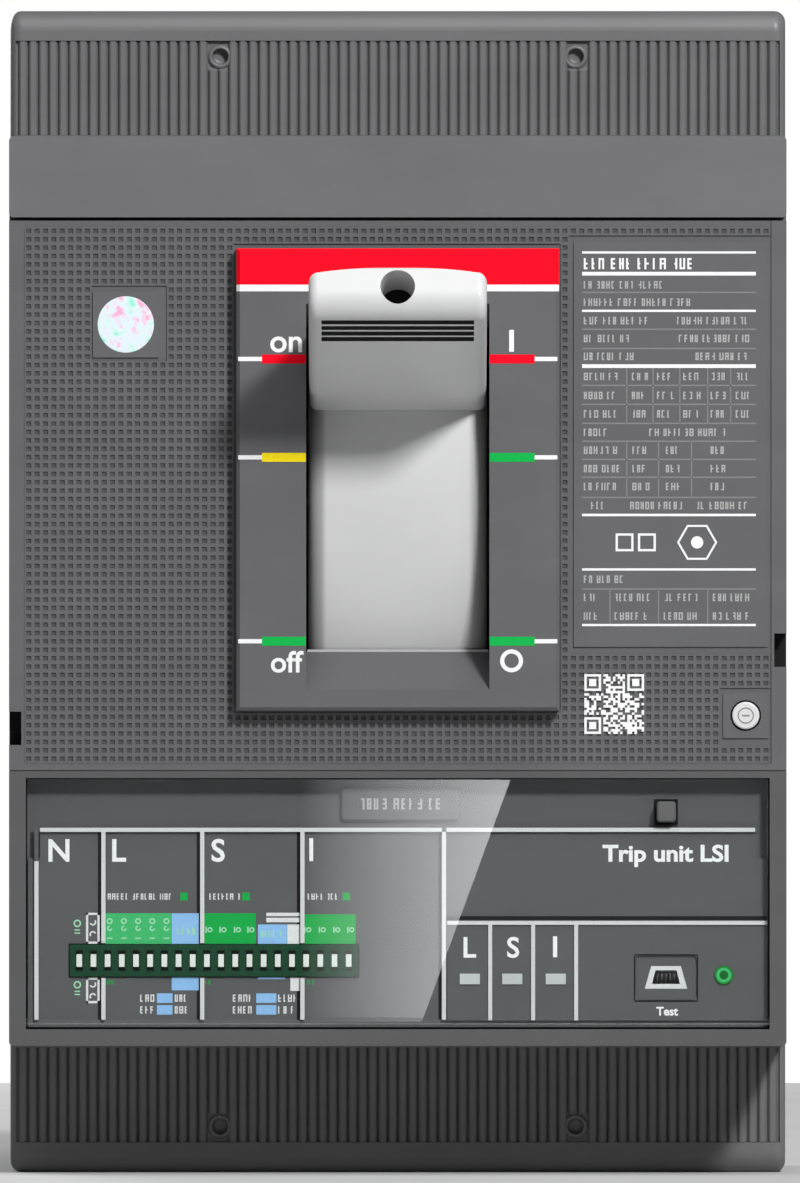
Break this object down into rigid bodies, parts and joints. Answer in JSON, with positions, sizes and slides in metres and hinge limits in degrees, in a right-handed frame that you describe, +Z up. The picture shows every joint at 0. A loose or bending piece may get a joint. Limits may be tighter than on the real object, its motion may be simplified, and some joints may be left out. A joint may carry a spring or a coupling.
{
  "type": "molded case circuit breaker",
  "caption": "Three-pole molded case breaker: ribbed terminal covers, tilting handle in a raised plate, push-to-trip button and an electronic trip unit under a clear hinged cover.",
  "frame": {"origin": "centre of the flat back mounting face", "axes": "+X to the right as you face the breaker, +Y out of the back into the mounting plate, +Z up"},
  "size_m": [0.1396, 0.1387, 0.2092],
  "materials": {
    "case_plastic": "fine moulded grain, dark grey",
    "panel_plastic": "fine square texture, dark grey",
    "plate_plastic": "smooth satin, dark grey",
    "cover_plastic": "ribbed, dark grey",
    "trip_plastic": "smooth satin, dark grey",
    "handle_plastic": "smooth, light grey",
    "button_grey": "smooth, light grey",
    "lamp": "frosted, unlit",
    "green_lamp": "frosted, green",
    "socket_grey": "smooth, grey",
    "dip_green": "smooth, dark green",
    "lever_white": "smooth, white",
    "clear_plastic": "clear polycarbonate",
    "steel": "zinc plated",
    "black_steel": "blackened",
    "tinned_copper": "tin plated",
    "white_ink": "printed",
    "grey_ink": "printed",
    "black_ink": "printed",
    "red_ink": "printed",
    "yellow_ink": "printed",
    "green_ink": "printed",
    "blue_ink": "printed",
    "seal_foil": "pale foil with pink and green patches"
  },
  "bodies": {
    "case": {"case_base": "case_plastic", "case_cover": "case_plastic", "front_panel": "panel_plastic", "toggle_plate": "plate_plastic", "mechanism_frame": "steel", "pivot_pin": "steel", "line_terminals": "tinned_copper", "load_terminals": "tinned_copper", "top_terminal_cover": "cover_plastic", "bottom_terminal_cover": "cover_plastic", "top_cover_screws": "black_steel", "bottom_cover_screws": "black_steel", "trip_unit_body": "trip_plastic", "trip_unit_frame": "case_plastic", "trip_unit_face": "trip_plastic", "status_panel": "trip_plastic", "rating_plug": "trip_plastic", "indicator_lights": "lamp", "power_light": "green_lamp", "test_socket": "socket_grey", "dip_block": "dip_green", "cover_latch": "trip_plastic"},
    "handle": {"handle_shield": "handle_plastic", "handle_grip": "handle_plastic"},
    "button": {"trip_button": "button_grey"},
    "clear_cover": {"trip_unit_cover": "clear_plastic"},
    "lever_01": {"slider_lever_01": "lever_white"},
    "lever_02": {"slider_lever_02": "lever_white"},
    "lever_03": {"slider_lever_03": "lever_white"},
    "lever_04": {"slider_lever_04": "lever_white"},
    "lever_05": {"slider_lever_05": "lever_white"},
    "lever_06": {"slider_lever_06": "lever_white"},
    "lever_07": {"slider_lever_07": "lever_white"},
    "lever_08": {"slider_lever_08": "lever_white"},
    "lever_09": {"slider_lever_09": "lever_white"},
    "lever_10": {"slider_lever_10": "lever_white"},
    "lever_11": {"slider_lever_11": "lever_white"},
    "lever_12": {"slider_lever_12": "lever_white"},
    "lever_13": {"slider_lever_13": "lever_white"},
    "lever_14": {"slider_lever_14": "lever_white"},
    "lever_15": {"slider_lever_15": "lever_white"},
    "lever_16": {"slider_lever_16": "lever_white"},
    "lever_17": {"slider_lever_17": "lever_white"},
    "lever_18": {"slider_lever_18": "lever_white"},
    "lever_19": {"slider_lever_19": "lever_white"},
    "lever_20": {"slider_lever_20": "lever_white"}
  },
  "joints": [
    {"name": "cover_hinge", "type": "hinge", "parent": "case", "child": "clear_cover", "pos_m": [0, -0.09835, -0.077], "axis": [1, 0, 0], "range_deg": [0, 90]},
    {"name": "handle_hinge", "type": "hinge", "parent": "case", "child": "handle", "pos_m": [0, -0.0365, 0.01635], "axis": [1, 0, 0], "range_deg": [0, 39.5]},
    {"name": "push_button_slide", "type": "slide", "parent": "case", "child": "button", "axis": [0, 1, 0], "range_m": [0, 0.0025], "stiffness_N_per_m": 300},
    {"name": "slider_01", "type": "slide", "parent": "case", "child": "lever_01", "axis": [0, 0, 1], "range_m": [-0.0006, 0.0006]},
    {"name": "slider_02", "type": "slide", "parent": "case", "child": "lever_02", "axis": [0, 0, 1], "range_m": [-0.0006, 0.0006]},
    {"name": "slider_03", "type": "slide", "parent": "case", "child": "lever_03", "axis": [0, 0, 1], "range_m": [-0.0006, 0.0006]},
    {"name": "slider_04", "type": "slide", "parent": "case", "child": "lever_04", "axis": [0, 0, 1], "range_m": [-0.0006, 0.0006]},
    {"name": "slider_05", "type": "slide", "parent": "case", "child": "lever_05", "axis": [0, 0, 1], "range_m": [-0.0006, 0.0006]},
    {"name": "slider_06", "type": "slide", "parent": "case", "child": "lever_06", "axis": [0, 0, 1], "range_m": [-0.0006, 0.0006]},
    {"name": "slider_07", "type": "slide", "parent": "case", "child": "lever_07", "axis": [0, 0, 1], "range_m": [-0.0006, 0.0006]},
    {"name": "slider_08", "type": "slide", "parent": "case", "child": "lever_08", "axis": [0, 0, 1], "range_m": [-0.0006, 0.0006]},
    {"name": "slider_09", "type": "slide", "parent": "case", "child": "lever_09", "axis": [0, 0, 1], "range_m": [-0.0006, 0.0006]},
    {"name": "slider_10", "type": "slide", "parent": "case", "child": "lever_10", "axis": [0, 0, 1], "range_m": [-0.0006, 0.0006]},
    {"name": "slider_11", "type": "slide", "parent": "case", "child": "lever_11", "axis": [0, 0, 1], "range_m": [-0.0006, 0.0006]},
    {"name": "slider_12", "type": "slide", "parent": "case", "child": "lever_12", "axis": [0, 0, 1], "range_m": [-0.0006, 0.0006]},
    {"name": "slider_13", "type": "slide", "parent": "case", "child": "lever_13", "axis": [0, 0, 1], "range_m": [-0.0006, 0.0006]},
    {"name": "slider_14", "type": "slide", "parent": "case", "child": "lever_14", "axis": [0, 0, 1], "range_m": [-0.0006, 0.0006]},
    {"name": "slider_15", "type": "slide", "parent": "case", "child": "lever_15", "axis": [0, 0, 1], "range_m": [-0.0006, 0.0006]},
    {"name": "slider_16", "type": "slide", "parent": "case", "child": "lever_16", "axis": [0, 0, 1], "range_m": [-0.0006, 0.0006]},
    {"name": "slider_17", "type": "slide", "parent": "case", "child": "lever_17", "axis": [0, 0, 1], "range_m": [-0.0006, 0.0006]},
    {"name": "slider_18", "type": "slide", "parent": "case", "child": "lever_18", "axis": [0, 0, 1], "range_m": [-0.0006, 0.0006]},
    {"name": "slider_19", "type": "slide", "parent": "case", "child": "lever_19", "axis": [0, 0, 1], "range_m": [-0.0006, 0.0006]},
    {"name": "slider_20", "type": "slide", "parent": "case", "child": "lever_20", "axis": [0, 0, 1], "range_m": [-0.0006, 0.0006]}
  ]
}
